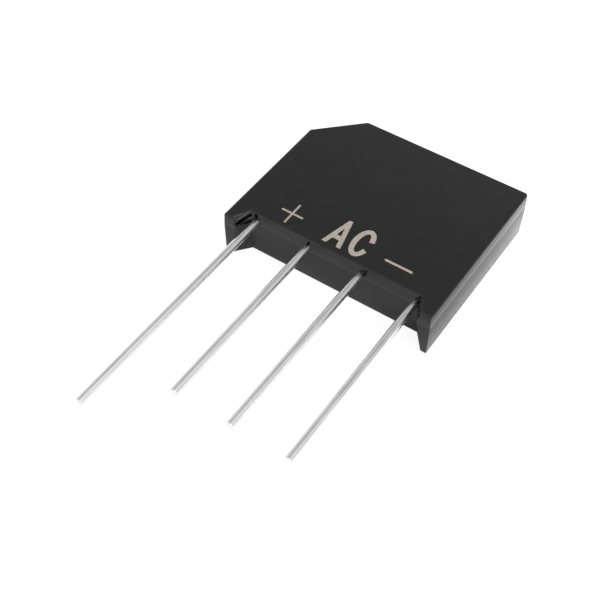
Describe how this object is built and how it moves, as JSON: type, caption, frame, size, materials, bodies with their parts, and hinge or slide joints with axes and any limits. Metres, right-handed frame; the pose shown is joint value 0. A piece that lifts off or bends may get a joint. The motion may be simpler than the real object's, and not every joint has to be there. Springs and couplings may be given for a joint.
{
  "type": "bridge rectifier",
  "caption": "Flat moulded bridge rectifier with a cut corner, stand-off ribs and a single row of round wire leads, the plus lead longer.",
  "frame": {"origin": "middle of the flat back face's width and height", "axes": "+X across the row of leads from the plus lead to the minus lead, -Y along the leads away from the body, +Z out of the marking face"},
  "size_m": [0.0196, 0.0369, 0.0046],
  "materials": {
    "moulded_epoxy": "satin-gloss black moulded epoxy",
    "tinned_copper": "bright tin-plated copper wire",
    "silicon": "glassivated silicon",
    "bare_copper": "bare copper strip",
    "solder": "dull solder"
  },
  "bodies": {
    "root": {"body": "moulded_epoxy", "lead_plus": "tinned_copper", "lead_ac_1": "tinned_copper", "lead_ac_2": "tinned_copper", "lead_minus": "tinned_copper", "diode_chip_1": "silicon", "diode_chip_2": "silicon", "diode_chip_3": "silicon", "diode_chip_4": "silicon", "strap_plus": "bare_copper", "strap_minus": "bare_copper", "solder_chip_1_lead": "solder", "solder_chip_1_strap": "solder", "solder_chip_2_lead": "solder", "solder_chip_2_strap": "solder", "solder_chip_3_lead": "solder", "solder_chip_3_strap": "solder", "solder_chip_4_lead": "solder", "solder_chip_4_strap": "solder", "solder_strap_plus": "solder", "solder_strap_minus": "solder"}
  },
  "joints": []
}
